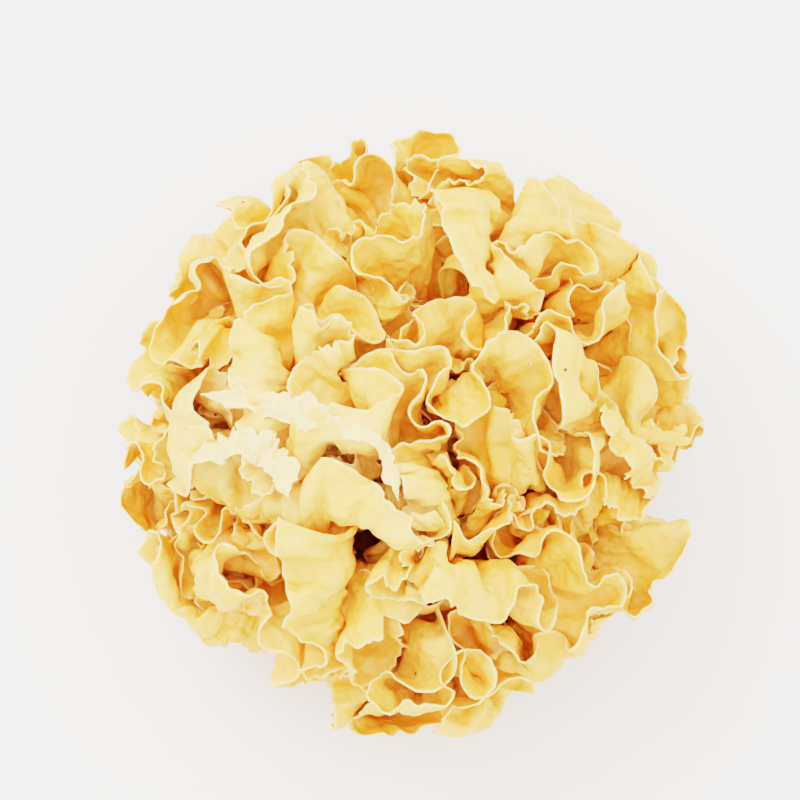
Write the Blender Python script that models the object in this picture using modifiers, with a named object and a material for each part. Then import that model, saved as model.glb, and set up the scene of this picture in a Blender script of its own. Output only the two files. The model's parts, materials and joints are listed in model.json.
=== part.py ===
"""A dried snow fungus: a head of thin ruffled fronds on a rounded base that is cut off flat below.

Every frond is a sheet that grows. It sprouts as a short strip on the base, and its margin grows faster
than its foot, so it ruffles. It bends where it meets its neighbours or the outside of the head.
Sheets are arrays of points indexed by axis, frond, row and column; row 0 is the foot on the base.
"""

import math

import bmesh
import bpy
import numpy as np

# Sizes in millimetres

BASE_RADIUS = 18.5
BASE_SHOULDER = 15.0
BASE_CHAMFER = 1.5
FOOT_RADIUS = 19.0

HEAD_WIDTH = 123.0
HEAD_DEPTH = 130.0
HEAD_MIDDLE = 36.0
HEAD_UP = 43.0
HEAD_DOWN = 33.0
LOWEST_FROND = 1.5

FROND_COUNT = 28
FROND_THICKNESS = 1.0
MARGIN_LENGTH = 150.0
SPROUT_HEIGHT = 14.0
UNEVENNESS = 0.25

# Spacing that the sheets keep from each other, in each stage of growth

FOLD_SPACING = 5.2
RUFFLE_SPACING = 4.6
SETTLED_SPACING = 3.0

# Gaps that run down between the fronds: lower end, upper end, radius

CHANNELS = (
    ((-8.5, -24.0, 32.0), (-8.5, -38.0, 74.0), 4.5),
    ((21.0, 16.0, 38.0), (22.0, 10.0, 80.0), 3.0),
)

# How the fronds grow: angles in radians, the rest are shares

LOWEST_DIRECTION = -0.28
FOOT_HALF_ANGLE = 0.3
FOOT_TRIES = 10
HEIGHT_OF_REACH = (1.05, 1.3)
SIZE_RANGE = (0.85, 1.15)
MARGIN_POWER = 1.6
LOBE_WAVES = (1, 2, 3, 5, 8)
LOBE_STRENGTHS = (0.25, 0.15, 0.15, 0.12, 0.12)
LOBE_LIMITS = (0.6, 1.5)
STRETCH = 0.25
SHEAR = 0.12
BEND = 0.03
SPROUT_PULL = 0.5
SEED = 12

# Points of a sheet, and how many parts each row of the finished frond has, from the foot up

ROWS = 6
COLUMNS = 17
PARTS_OF_ROWS = (2, 4, 8, 16, 16, 32)

MM = 0.001


def squared(v):
    return v[0] * v[0] + v[1] * v[1] + v[2] * v[2]


def length(v):
    return np.sqrt(squared(v) + 1e-9)


def spring(a, b, rest, gain):
    """The move that brings the distance from a to b nearer to its rest length."""
    e = b - a
    return e * (gain * (1 - rest / length(e)))


def relax(sheets, wide, tall, slant, bend):
    """One step towards the rest lengths along rows, along columns and across the cells."""
    move = np.zeros_like(sheets)
    c = spring(sheets[..., :-1], sheets[..., 1:], wide, STRETCH)
    move[..., :-1] += c
    move[..., 1:] -= c
    c = spring(sheets[:, :, :-1], sheets[:, :, 1:], tall, STRETCH)
    move[:, :, :-1] += c
    move[:, :, 1:] -= c
    c = spring(sheets[:, :, :-1, :-1], sheets[:, :, 1:, 1:], slant, SHEAR)
    move[:, :, :-1, :-1] += c
    move[:, :, 1:, 1:] -= c
    c = spring(sheets[:, :, :-1, 1:], sheets[:, :, 1:, :-1], slant, SHEAR)
    move[:, :, :-1, 1:] += c
    move[:, :, 1:, :-1] -= c
    if bend:
        resist_bending(sheets, wide, tall, bend, move)
    return sheets + move


def resist_bending(sheets, wide, tall, bend, move):
    """Pushes points some cells apart away from each other, more at the foot than at the margin."""
    rows, columns = sheets.shape[2:]
    foot = bend * (1 - np.linspace(0, 1, rows)[:, None]) ** 2
    along = np.zeros(sheets.shape[1:])
    along[..., 1:] = np.cumsum(wide, 2)
    for cells in (2, 4, 8):
        stiff = foot + bend if cells == 2 else foot
        c = spring(sheets[..., :-cells], sheets[..., cells:], along[..., cells:] - along[..., :-cells], stiff)
        move[..., :-cells] += c
        move[..., cells:] -= c
    c = spring(sheets[:, :, :-2], sheets[:, :, 2:], tall[:, 1:] + tall[:, :-1], bend)
    move[:, :, :-2] += c
    move[:, :, 2:] -= c


def head_ratio(points):
    """How far out each point lies, 1 on the outside of the head, and its offset from the middle."""
    x, y, z = points[0], points[1], points[2] - HEAD_MIDDLE
    height = np.where(z > 0, HEAD_UP, HEAD_DOWN)
    return np.sqrt(squared((x / (HEAD_WIDTH / 2), y / (HEAD_DEPTH / 2), z / height))), (x, y, z)


def keep_on_base(sheets, foot, tall):
    """Feet stay on the base, the next row stands over them, and the rest stays outside it."""
    sheets[:, :, 0] = foot
    level = np.clip(sheets[2], 0, BASE_SHOULDER)
    out = np.stack([sheets[0], sheets[1], sheets[2] - level])
    distance = length(out)
    out /= distance
    sheets[:, :, 1] += SPROUT_PULL * (foot + out[:, :, 0] * tall[:, 0] - sheets[:, :, 1])
    sheets[:, :, 1:] += out[:, :, 1:] * np.maximum(FOOT_RADIUS + 2 - distance[:, 1:], 0)


def keep_out_of_channels(sheets):
    free = sheets[:, :, 2:]
    for low, high, radius in CHANNELS:
        run = [high[i] - low[i] for i in range(3)]
        offset = [free[i] - low[i] for i in range(3)]
        along = (offset[0] * run[0] + offset[1] * run[1] + offset[2] * run[2]) / squared(run)
        along = np.clip(along, 0, 1)
        away = np.stack([offset[i] - along * run[i] for i in range(3)])
        distance = length(away)
        free += away / distance * (0.5 * np.maximum(radius - distance, 0))


def keep_in_head(sheets):
    ratio, offset = head_ratio(sheets)
    over = 0.35 * (1 - 1 / np.maximum(ratio, 1))
    for i in range(3):
        sheets[i] -= over * offset[i]
    sheets[2] = np.maximum(sheets[2], LOWEST_FROND)


def with_middles(a, axis):
    """Adds a straight sample between neighbours along an axis."""
    a = a.swapaxes(axis, -1)
    more = np.empty(a.shape[:-1] + (2 * a.shape[-1] - 1,))
    more[..., ::2] = a
    more[..., 1::2] = 0.5 * (a[..., 1:] + a[..., :-1])
    return more.swapaxes(axis, -1)


def without_middles(moves, axis):
    """Hands the moves of the samples that with_middles adds back to their neighbours."""
    moves = moves.swapaxes(axis, -1)
    less = moves[..., ::2].copy()
    less[..., 1:] += 0.5 * moves[..., 1::2]
    less[..., :-1] += 0.5 * moves[..., 1::2]
    return less.swapaxes(axis, -1)


def samples_of(sheets, finer):
    """Samples on straight-sided sheets; finer is how often rows and columns are doubled."""
    for axis, times in zip((2, 3), finer):
        for _ in range(times):
            sheets = with_middles(sheets, axis)
    return np.ascontiguousarray(sheets)


def moves_of_points(moves, finer):
    for axis, times in zip((2, 3), finer):
        for _ in range(times):
            moves = without_middles(moves, axis)
    return moves


def near_pairs(points, reach):
    """Index pairs of points closer than reach, found on a grid of cubic cells."""
    cell = np.floor((points - points.min(1)[:, None]) / reach).astype(np.int64) + 1
    nx, ny, nz = (int(m) + 2 for m in cell.max(1))
    key = (cell[0] * ny + cell[1]) * nz + cell[2]
    order = np.argsort(key, kind="stable")
    key = key[order]
    points = points[:, order]
    start = np.searchsorted(key, np.arange(nx * ny * nz + 1))
    here = np.arange(len(key))
    first = []
    second = []
    for dx, dy in ((0, 0), (0, 1), (1, -1), (1, 0), (1, 1)):
        column = key + (dx * ny + dy) * nz
        begin = here + 1 if (dx, dy) == (0, 0) else start[column - 1]
        count = np.maximum(start[column + 2] - begin, 0)
        a = np.repeat(here, count)
        b = np.arange(len(a)) + np.repeat(begin - (np.cumsum(count) - count), count)
        near = np.flatnonzero(squared(points[:, a] - points[:, b]) < reach * reach)
        first.append(order[a[near]])
        second.append(order[b[near]])
    return np.concatenate(first), np.concatenate(second)


def pairs_to_part(sheets, wide, tall, spacing, finer):
    """Pairs of samples that may come too close: in two sheets, or far apart along one sheet."""
    samples = samples_of(sheets, finer)
    a, b = near_pairs(samples.reshape(3, -1), spacing * 1.35)
    _, _, rows, columns = samples.shape
    frond_a, row_a, column_a = a // (rows * columns), a // columns % rows, a % columns
    frond_b, row_b, column_b = b // (rows * columns), b // columns % rows, b % columns
    per_row, per_column = 2 ** finer[0], 2 ** finer[1]
    cell_column = np.minimum(np.minimum(column_a, column_b) // per_column, wide.shape[2] - 1)
    cell_row = np.minimum(np.minimum(row_a, row_b) // per_row, tall.shape[1] - 1)
    across = (column_a - column_b) / per_column * wide[frond_a, row_a // per_row, cell_column]
    up = (row_a - row_b) / per_row * tall[frond_a, cell_row, column_a // per_column]
    apart = across * across + up * up > (1.7 * spacing) ** 2
    keep = np.flatnonzero((frond_a != frond_b) | apart)
    return a[keep], b[keep]


def part_sheets(sheets, pairs, spacing, finer):
    """Moves sheets apart where their samples come closer than spacing."""
    samples = samples_of(sheets, finer)
    points = samples.reshape(3, -1)
    n = points.shape[1]
    a, b = pairs
    apart = points[:, a] - points[:, b]
    distance = squared(apart)
    hit = np.flatnonzero(distance < spacing * spacing)
    a, b = a[hit], b[hit]
    distance = np.sqrt(distance[hit] + 1e-9)
    apart = apart[:, hit] * (0.5 * (spacing - distance) / distance)
    move = np.stack([np.bincount(a, c, n) - np.bincount(b, c, n) for c in apart])
    count = np.bincount(a, minlength=n) + np.bincount(b, minlength=n)
    move = (move / np.sqrt(np.maximum(count, 1))).reshape(samples.shape)
    if finer == (0, 0):
        return sheets + 0.7 * move
    touched = (count > 0).astype(float).reshape((1,) + samples.shape[1:])
    weight = np.maximum(moves_of_points(touched, finer), 0.5)
    return sheets + 0.9 * moves_of_points(move, finer) / weight


def grow(sheets, rest, rest_end, steps, spacing, finer, first_spacing=None, bend=BEND, ramp=1.0):
    """Grows the rest lengths over a share of the steps, then lets the sheets settle."""
    foot = sheets[:, :, 0].copy()
    first_spacing = first_spacing or spacing
    pairs = None
    for step in range(steps):
        share = min(1.0, (step + 1) / (ramp * steps))
        wide, tall = (a + (b - a) * share for a, b in zip(rest, rest_end))
        half_width = 0.5 * (wide[:, 1:] + wide[:, :-1])
        half_height = 0.5 * (tall[:, :, 1:] + tall[:, :, :-1])
        slant = np.sqrt(half_width * half_width + half_height * half_height)
        for _ in range(3 if bend else 1):
            sheets = relax(sheets, wide, tall, slant, bend)
        now = first_spacing + (spacing - first_spacing) * share
        if step % 5 == 0:
            pairs = pairs_to_part(sheets, wide, tall, now, finer)
        sheets = part_sheets(sheets, pairs, now, finer)
        keep_on_base(sheets, foot, tall)
        keep_out_of_channels(sheets)
        keep_in_head(sheets)
    return sheets


def steady(array):
    """Rounds to a millionth, so that every later sum is the same on any processor."""
    return np.round(array, 6)


def directions():
    """One direction for each frond, evenly spread from the top of the base to below its shoulder."""
    i = np.arange(FROND_COUNT) + 0.5
    z = 1 - (1 - LOWEST_DIRECTION) * i / FROND_COUNT
    turn = i * math.pi * (3 - math.sqrt(5))
    r = np.sqrt(1 - z * z)
    return np.stack([r * np.cos(turn), r * np.sin(turn), z], 1)


def reach_to_outside(direction):
    """The way from the base to the outside of the head."""
    steps = np.linspace(FOOT_RADIUS, HEAD_DEPTH, 800)
    start = np.array((0, 0, BASE_SHOULDER))
    ratio, _ = head_ratio((start + steps[:, None] * direction).T)
    return steps[np.argmax(ratio > 1)] - FOOT_RADIUS


def arc(out, side, angles):
    return np.cos(angles)[:, None] * out + np.sin(angles)[:, None] * side


def foot_side(rng, out, placed):
    """The direction in which a foot runs: the one that stays clearest of the feet placed so far."""
    first = np.cross(out, (0.3, 0.2, 1.0))
    first /= math.sqrt(squared(first))
    second = np.cross(out, first)
    probe = np.linspace(-FOOT_HALF_ANGLE, FOOT_HALF_ANGLE, 9)
    best = -1.0
    side = first
    for turn in rng.uniform(0, math.pi, FOOT_TRIES):
        run = math.cos(turn) * first + math.sin(turn) * second
        apart = arc(out, run, probe)[:, None] - placed[None]
        nearest = steady(np.sqrt((apart * apart).sum(2)).min(initial=2.0))
        if nearest > best:
            best = nearest
            side = run
    return side, arc(out, side, probe)


def sprout(rng):
    """The first short strips, and how far each frond will reach."""
    sheets = np.zeros((3, FROND_COUNT, ROWS, COLUMNS))
    height = np.zeros(FROND_COUNT)
    angles = np.linspace(-FOOT_HALF_ANGLE, FOOT_HALF_ANGLE, COLUMNS)
    radius = FOOT_RADIUS + np.linspace(0, SPROUT_HEIGHT, ROWS)
    placed = np.zeros((0, 3))
    for frond, out in enumerate(directions()):
        side, foot = foot_side(rng, out, placed)
        placed = np.concatenate([placed, foot])
        sheets[:, frond] = radius[None, :, None] * arc(out, side, angles).T[:, None, :]
        height[frond] = reach_to_outside(out) * rng.uniform(*HEIGHT_OF_REACH)
    upright = radius[:, None] / np.sqrt(sheets[0] ** 2 + sheets[1] ** 2)
    sheets[:2] *= np.where(sheets[2] < 0, upright, 1)
    sheets[2] += BASE_SHOULDER
    return sheets, height


def grown_lengths(rng, height):
    """The final rest lengths of the finer sheets: rows in uneven lobes, columns evenly."""
    rows, columns = 2 * ROWS - 1, 2 * COLUMNS - 1
    up = np.linspace(0, 1, rows)[:, None]
    x = (np.arange(columns - 1) + 0.5) / (columns - 1)
    lobes = np.zeros((FROND_COUNT, 1, columns - 1))
    for frond in range(FROND_COUNT):
        for wave, strength in zip(LOBE_WAVES, LOBE_STRENGTHS):
            lobes[frond, 0] += rng.normal(0, strength) * np.cos(2 * math.pi * (wave * x + rng.random()))
    size = 1 + (rng.uniform(*SIZE_RANGE, FROND_COUNT)[:, None, None] - 1) * up
    foot = 2 * FOOT_HALF_ANGLE * FOOT_RADIUS
    row_length = foot + (MARGIN_LENGTH - foot) * up**MARGIN_POWER
    wide = row_length / (columns - 1) * size * np.clip(1 + lobes * up, *LOBE_LIMITS)
    tall = np.zeros((FROND_COUNT, rows - 1, columns)) + (height / (rows - 1))[:, None, None]
    return steady(wide), steady(tall)


def measured(sheets):
    """The present lengths along rows and columns."""
    return (np.sqrt(squared(sheets[..., 1:] - sheets[..., :-1])),
            np.sqrt(squared(sheets[:, :, 1:] - sheets[:, :, :-1])))


def smooth_middles(a):
    """Doubles the samples along the last axis; the new ones lie on a smooth curve through the old."""
    more = np.empty(a.shape[:-1] + (2 * a.shape[-1] - 1,))
    middle = 0.5 * (a[..., 1:] + a[..., :-1])
    around = 0.5 * (a[..., :-3] + a[..., 3:])
    middle[..., 1:-1] += 0.125 * (middle[..., 1:-1] - around)
    more[..., ::2] = a
    more[..., 1::2] = middle
    return more


def refine(sheets, wide, tall):
    """Halves the cells of the sheets and their rest lengths."""
    sheets = smooth_middles(smooth_middles(sheets).swapaxes(2, 3)).swapaxes(2, 3)
    wide = np.repeat(with_middles(wide, 1), 2, 2) / 2
    tall = np.repeat(with_middles(tall, 2), 2, 1) / 2
    return np.ascontiguousarray(sheets), wide, tall


def unevenness(rng, sheets):
    """Small bumps that decide where folds start, none at the foot."""
    up = np.linspace(0, 1, sheets.shape[2])[:, None]
    return steady(rng.normal(0, UNEVENNESS, sheets.shape) * up)


def grow_fronds():
    rng = np.random.default_rng(SEED)
    sheets, height = sprout(rng)
    wide_end, tall_end = grown_lengths(rng, steady(height))
    sheets = steady(sheets) + unevenness(rng, sheets)
    wide, tall = measured(sheets)
    coarse_wide = wide_end[:, ::2, ::2] + wide_end[:, ::2, 1::2]
    coarse_tall = 2 * tall_end[:, ::2, ::2]
    half = (wide + 0.5 * (coarse_wide - wide), tall + 0.65 * (coarse_tall - tall))
    sheets = grow(sheets, (wide, tall), half, 200, FOLD_SPACING, (1, 1), 0.35 * FOLD_SPACING)
    sheets, wide, tall = refine(sheets, *half)
    sheets = sheets + unevenness(rng, sheets)
    sheets = grow(sheets, (wide, tall), (wide_end, tall_end), 300, RUFFLE_SPACING, (0, 0), ramp=0.8)
    sheets = sheets[:, :, ::2]
    lengths = measured(sheets)
    return grow(sheets, lengths, lengths, 40, SETTLED_SPACING, (2, 1), bend=0)


def clear_scene():
    for ob in list(bpy.data.objects):
        bpy.data.objects.remove(ob)


def material(name, colour, roughness):
    made = bpy.data.materials.new(name)
    made.use_nodes = True
    shader = made.node_tree.nodes["Principled BSDF"]
    shader.inputs["Base Color"].default_value = (*colour, 1)
    shader.inputs["Roughness"].default_value = roughness
    shader.inputs["Metallic"].default_value = 0
    return made


def add_object(name, mesh, finish, collection):
    mesh.materials.append(finish)
    mesh.shade_smooth()
    ob = bpy.data.objects.new(name, mesh)
    collection.objects.link(ob)
    return ob


def make_base(collection, finish):
    """The rounded lump the fronds grow from, turned from its profile, with its flat cut below."""
    profile = [(0, BASE_SHOULDER + BASE_RADIUS)]
    for angle in np.linspace(0, math.pi / 2, 7)[1:]:
        profile.append((BASE_RADIUS * math.sin(angle), BASE_SHOULDER + BASE_RADIUS * math.cos(angle)))
    profile.append((BASE_RADIUS, BASE_CHAMFER))
    profile.append((BASE_RADIUS - BASE_CHAMFER, 0))
    profile.append((0, 0))
    mesh = bpy.data.meshes.new("base")
    points = [(r * MM, 0, z * MM) for r, z in profile]
    mesh.from_pydata(points, [(i, i + 1) for i in range(len(points) - 1)], [])
    ob = add_object("base", mesh, finish, collection)
    turn = ob.modifiers.new("turn", "SCREW")
    turn.steps = 24
    turn.render_steps = 24
    turn.use_merge_vertices = True
    turn.merge_threshold = 0.0001


def make_frond(name, sheet, collection, finish):
    """A grid whose rows have fewer points towards the foot, thickened to both sides."""
    _, rows, columns = sheet.shape
    bm = bmesh.new()
    bmesh.ops.create_grid(bm, x_segments=columns - 1, y_segments=rows - 1, size=1)
    verts = list(bm.verts)
    for vert, place in zip(verts, sheet.reshape(3, -1).T * MM):
        vert.co = place
    merged = {}
    for row, parts in enumerate(PARTS_OF_ROWS):
        step = (columns - 1) // parts
        for column in range(columns):
            kept = (column + step // 2) // step * step
            if kept != column:
                merged[verts[row * columns + column]] = verts[row * columns + kept]
    bmesh.ops.weld_verts(bm, targetmap=merged)
    mesh = bpy.data.meshes.new(name)
    bm.to_mesh(mesh)
    bm.free()
    ob = add_object(name, mesh, finish, collection)
    thick = ob.modifiers.new("thickness", "SOLIDIFY")
    thick.thickness = FROND_THICKNESS * MM
    thick.offset = 0


def main():
    clear_scene()
    collection = bpy.data.collections.new("Snow fungus")
    bpy.context.scene.collection.children.link(collection)
    make_base(collection, material("dried base", (0.50, 0.26, 0.07), 0.7))
    finish = material("dried frond", (0.90, 0.66, 0.28), 0.5)
    sheets = grow_fronds()
    for i in range(FROND_COUNT):
        make_frond(f"frond_{i + 1:02d}", sheets[:, i], collection, finish)


main()
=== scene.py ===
"""The looks of a dried snow fungus: thin translucent fronds with finely ruffled margins.

The fronds grow as they do in the part's own source. Then each grows on: its margin gets finer folds, and
smaller sheets branch off its faces. A torn membrane lies on top, and the base is a knotted lump. Lengths of
the growth are in millimetres, Blender's are in metres. Sheets are arrays of points indexed by axis, sheet,
row and column; row 0 is the foot.
"""

import json
import math

import bpy
import numpy as np
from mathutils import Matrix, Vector

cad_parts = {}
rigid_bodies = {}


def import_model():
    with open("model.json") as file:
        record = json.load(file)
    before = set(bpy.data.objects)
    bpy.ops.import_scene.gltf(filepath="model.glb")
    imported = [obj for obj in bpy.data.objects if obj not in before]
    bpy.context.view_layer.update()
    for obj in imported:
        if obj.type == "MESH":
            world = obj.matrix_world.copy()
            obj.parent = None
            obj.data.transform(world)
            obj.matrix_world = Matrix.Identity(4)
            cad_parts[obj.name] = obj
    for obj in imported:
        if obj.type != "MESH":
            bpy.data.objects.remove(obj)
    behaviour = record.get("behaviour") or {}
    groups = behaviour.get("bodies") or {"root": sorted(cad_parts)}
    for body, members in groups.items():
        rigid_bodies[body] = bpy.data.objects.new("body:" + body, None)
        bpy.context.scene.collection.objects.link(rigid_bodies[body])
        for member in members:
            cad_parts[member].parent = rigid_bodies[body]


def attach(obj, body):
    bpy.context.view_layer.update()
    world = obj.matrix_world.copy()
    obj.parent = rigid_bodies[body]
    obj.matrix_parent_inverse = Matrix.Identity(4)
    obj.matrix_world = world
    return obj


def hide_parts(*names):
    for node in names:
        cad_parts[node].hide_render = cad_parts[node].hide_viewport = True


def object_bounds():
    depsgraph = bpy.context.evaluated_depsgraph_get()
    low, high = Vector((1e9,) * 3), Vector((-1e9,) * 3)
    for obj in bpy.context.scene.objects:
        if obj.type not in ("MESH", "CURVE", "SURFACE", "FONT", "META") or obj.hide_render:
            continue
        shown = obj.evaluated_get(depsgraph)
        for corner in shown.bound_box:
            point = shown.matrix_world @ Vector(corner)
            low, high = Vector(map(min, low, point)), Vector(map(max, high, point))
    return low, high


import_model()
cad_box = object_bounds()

MM = 0.001

# The head, its base and its main folds, as in the part's source

BASE_RADIUS = 18.5
BASE_SHOULDER = 15.0
BASE_CHAMFER = 1.5
FOOT_RADIUS = 19.0
HEAD_WIDTH = 123.0
HEAD_DEPTH = 130.0
HEAD_MIDDLE = 36.0
HEAD_UP = 43.0
HEAD_DOWN = 33.0
LOWEST_FROND = 1.5
FROND_COUNT = 28
MARGIN_LENGTH = 150.0
SPROUT_HEIGHT = 14.0
UNEVENNESS = 0.25
FOLD_SPACING = 5.2
RUFFLE_SPACING = 4.6
CHANNELS = (
    ((-8.5, -24.0, 32.0), (-8.5, -38.0, 74.0), 4.5),
    ((21.0, 16.0, 38.0), (22.0, 10.0, 80.0), 3.0),
)
LOWEST_DIRECTION = -0.28
FOOT_HALF_ANGLE = 0.3
FOOT_TRIES = 10
HEIGHT_OF_REACH = (1.05, 1.3)
SIZE_RANGE = (0.85, 1.15)
MARGIN_POWER = 1.6
LOBE_WAVES = (1, 2, 3, 5, 8)
LOBE_STRENGTHS = (0.25, 0.15, 0.15, 0.12, 0.12)
LOBE_LIMITS = (0.6, 1.5)
STRETCH = 0.25
SHEAR = 0.12
BEND = 0.03
SPROUT_PULL = 0.5
SEED = 12
ROWS = 6
COLUMNS = 17

# The fine folds of the margins

FINE_SEED = 5
FINE_STEPS = 120
FINE_SPACING = 2.1
FIRST_FINE_SPACING = 0.9
FINE_GROWTH = 0.8
FINE_POWER = 2.2
FINE_BEND = 0.035
RIPPLE = 0.6
RIPPLE_WAVES = (8, 12, 16)
FINE_UNEVENNESS = 0.03
HEIGHT_GROWTH = 0.08
HOLD = 0.15
HELD_HEIGHT = 0.65
CHANNELS_CLEAR = 0.6
DROOP = 4.0
DROOP_HEIGHT = 18.0

# The sheets that branch off each frond's faces

BRANCHES = 5
BRANCH_ROWS = 11
BRANCH_COLUMNS = 33
BRANCH_HEIGHT = (0.42, 0.72)
BRANCH_HALF_FOOT = (0.03, 0.055)
BRANCH_SLANT = 0.1
BRANCH_MARGIN = 40.0
BRANCH_REACH = 1.1
BRANCH_SPROUT = 3.5
BRANCH_LEAN = (0.75, 0.65)

# The shown sheets: height range of each zone, its rows, and its parts across

FROND_ZONES = ((0.0, 0.3, 3, 72), (0.3, 0.6, 5, 144), (0.6, 1.0, 12, 288))
BRANCH_ZONES = ((0.0, 0.4, 3, 28), (0.4, 1.0, 8, 56))
RIM_WIDTH = 0.3
FOOT_THICKNESS = 0.9
BRANCH_FOOT_THICKNESS = 0.6
MARGIN_THICKNESS = 0.42
RIM_THICKNESS = 0.3
FLAT_HEIGHT = 1.0
TABLE_GAP = 0.1

# Their relief (height, length along the margin, length up) and outline (depth, length along the margin)

SWELLS = ((1.1, 6.5, 6.0), (0.5, 2.8, 3.2))
PLEATS = (0.3, 1.7, 10.0)
FRILLS = (1.25, 2.4, 14.0)
LOBES = (1.5, 9.0)
BAYS = (6.0, 4.5)
FRAYS = (2.3, 0.95)

# The torn membrane on top: paths of (x, y, half width)

MEMBRANE_PATHS = (
    ((-42.0, -4.0, 2.2), (-32.0, -6.0, 3.0), (-24.5, -9.0, 3.6), (-15.0, -12.5, 3.0), (-8.0, -15.0, 1.8),
     (-5.0, -19.0, 2.4), (-3.0, -27.0, 2.0)),
    ((-44.0, -17.0, 2.0), (-37.0, -15.5, 3.6), (-30.0, -16.5, 4.4), (-25.0, -21.0, 3.0), (-24.0, -26.0, 1.8)),
)
MEMBRANE_PARTS = (150, 20)
MEMBRANE_THICKNESS = 0.28
MEMBRANE_PALENESS = 0.7
FROND_PALENESS = 0.2
PALE_REACH = 30.0
DRAPE_REACH = 60
DRAPE_SLOPE = 0.55
DRAPE_SPREADS = 14
DRAPE_SMOOTHINGS = 6

# The shown base

BASE_TURNS = 144
KNOT_DEPTH = 1.6
WRINKLE_DEPTH = 0.35
PORE_DEPTH = 0.35
PORE_REACH = 16

# Colours: the fronds' from deep inside the head to its outside, then what is mixed in

# The fronds' ramp is partly their own deeper orange towards the base and partly painted shade: a darker, more
# saturated orange deep inside the head, where the folds shade each other.
FROND_COLOURS_AND_DEPTH_SHADE = (
    (0.30, (0.985, 0.44, 0.02)),
    (0.55, (0.99, 0.46, 0.035)),
    (0.78, (0.99, 0.465, 0.055)),
    (0.93, (0.99, 0.47, 0.07)),
    (1.0, (0.99, 0.48, 0.08)),
)
MOTTLE_COLOUR = (0.99, 0.525, 0.12, 1)
TINT_COLOUR = (0.985, 0.42, 0.05, 1)
CREASE_COLOUR = (0.99, 0.66, 0.20, 1)
MARGIN_COLOUR = (0.99, 0.70, 0.27, 1)
PALE_COLOUR = (0.99, 0.70, 0.29, 1)
SPECK_COLOUR = (0.10, 0.04, 0.015, 1)
BASE_COLOURS = ((0.3, (0.62, 0.15, 0.012)), (0.7, (0.82, 0.32, 0.04)))
FLOOR_COLOUR = (0.82, 0.81, 0.79, 1)
FLOOR_SIDE = 3.0
KEY_COLOUR = (1, 0.98, 0.95)
FILL_COLOUR = (0.97, 0.98, 1)


def squared(v):
    return v[0] * v[0] + v[1] * v[1] + v[2] * v[2]


def length(v):
    return np.sqrt(squared(v) + 1e-9)


def spring(a, b, rest, gain):
    """The move that brings the distance from a to b nearer to its rest length."""
    e = b - a
    return e * (gain * (1 - rest / length(e)))


def relax(sheets, wide, tall, slant, bend):
    """One step towards the rest lengths along rows, along columns and across the cells."""
    move = np.zeros_like(sheets)
    c = spring(sheets[..., :-1], sheets[..., 1:], wide, STRETCH)
    move[..., :-1] += c
    move[..., 1:] -= c
    c = spring(sheets[:, :, :-1], sheets[:, :, 1:], tall, STRETCH)
    move[:, :, :-1] += c
    move[:, :, 1:] -= c
    c = spring(sheets[:, :, :-1, :-1], sheets[:, :, 1:, 1:], slant, SHEAR)
    move[:, :, :-1, :-1] += c
    move[:, :, 1:, 1:] -= c
    c = spring(sheets[:, :, :-1, 1:], sheets[:, :, 1:, :-1], slant, SHEAR)
    move[:, :, :-1, 1:] += c
    move[:, :, 1:, :-1] -= c
    if bend:
        resist_bending(sheets, wide, tall, bend, move)
    return sheets + move


def resist_bending(sheets, wide, tall, bend, move):
    """Pushes points some cells apart away from each other, more at the foot than at the margin."""
    foot = bend * (1 - np.linspace(0, 1, sheets.shape[2])[:, None]) ** 2
    along = np.zeros(sheets.shape[1:])
    along[..., 1:] = np.cumsum(wide, 2)
    for cells in (2, 4, 8):
        stiff = foot + bend if cells == 2 else foot
        c = spring(sheets[..., :-cells], sheets[..., cells:], along[..., cells:] - along[..., :-cells], stiff)
        move[..., :-cells] += c
        move[..., cells:] -= c
    c = spring(sheets[:, :, :-2], sheets[:, :, 2:], tall[:, 1:] + tall[:, :-1], bend)
    move[:, :, :-2] += c
    move[:, :, 2:] -= c


def head_ratio(points):
    """How far out each point lies, 1 on the outside of the head, and its offset from the middle."""
    x, y, z = points[0], points[1], points[2] - HEAD_MIDDLE
    height = np.where(z > 0, HEAD_UP, HEAD_DOWN)
    return np.sqrt(squared((x / (HEAD_WIDTH / 2), y / (HEAD_DEPTH / 2), z / height))), (x, y, z)


def keep_on_base(sheets, foot, tall):
    """Feet stay on the base, the next row stands over them, and the rest stays outside it."""
    sheets[:, :, 0] = foot
    level = np.clip(sheets[2], 0, BASE_SHOULDER)
    out = np.stack([sheets[0], sheets[1], sheets[2] - level])
    distance = length(out)
    out /= distance
    sheets[:, :, 1] += SPROUT_PULL * (foot + out[:, :, 0] * tall[:, 0] - sheets[:, :, 1])
    sheets[:, :, 1:] += out[:, :, 1:] * np.maximum(FOOT_RADIUS + 2 - distance[:, 1:], 0)


def keep_out_of_channels(sheets):
    free = sheets[:, :, 2:]
    for low, high, radius in CHANNELS:
        run = [high[i] - low[i] for i in range(3)]
        offset = [free[i] - low[i] for i in range(3)]
        along = (offset[0] * run[0] + offset[1] * run[1] + offset[2] * run[2]) / squared(run)
        along = np.clip(along, 0, 1)
        away = np.stack([offset[i] - along * run[i] for i in range(3)])
        distance = length(away)
        free += away / distance * (0.5 * np.maximum(radius - distance, 0))


def keep_in_head(sheets):
    ratio, offset = head_ratio(sheets)
    over = 0.35 * (1 - 1 / np.maximum(ratio, 1))
    for i in range(3):
        sheets[i] -= over * offset[i]
    sheets[2] = np.maximum(sheets[2], LOWEST_FROND)


def with_middles(a, axis):
    """Adds a straight sample between neighbours along an axis."""
    a = a.swapaxes(axis, -1)
    more = np.empty(a.shape[:-1] + (2 * a.shape[-1] - 1,))
    more[..., ::2] = a
    more[..., 1::2] = 0.5 * (a[..., 1:] + a[..., :-1])
    return more.swapaxes(axis, -1)


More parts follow.
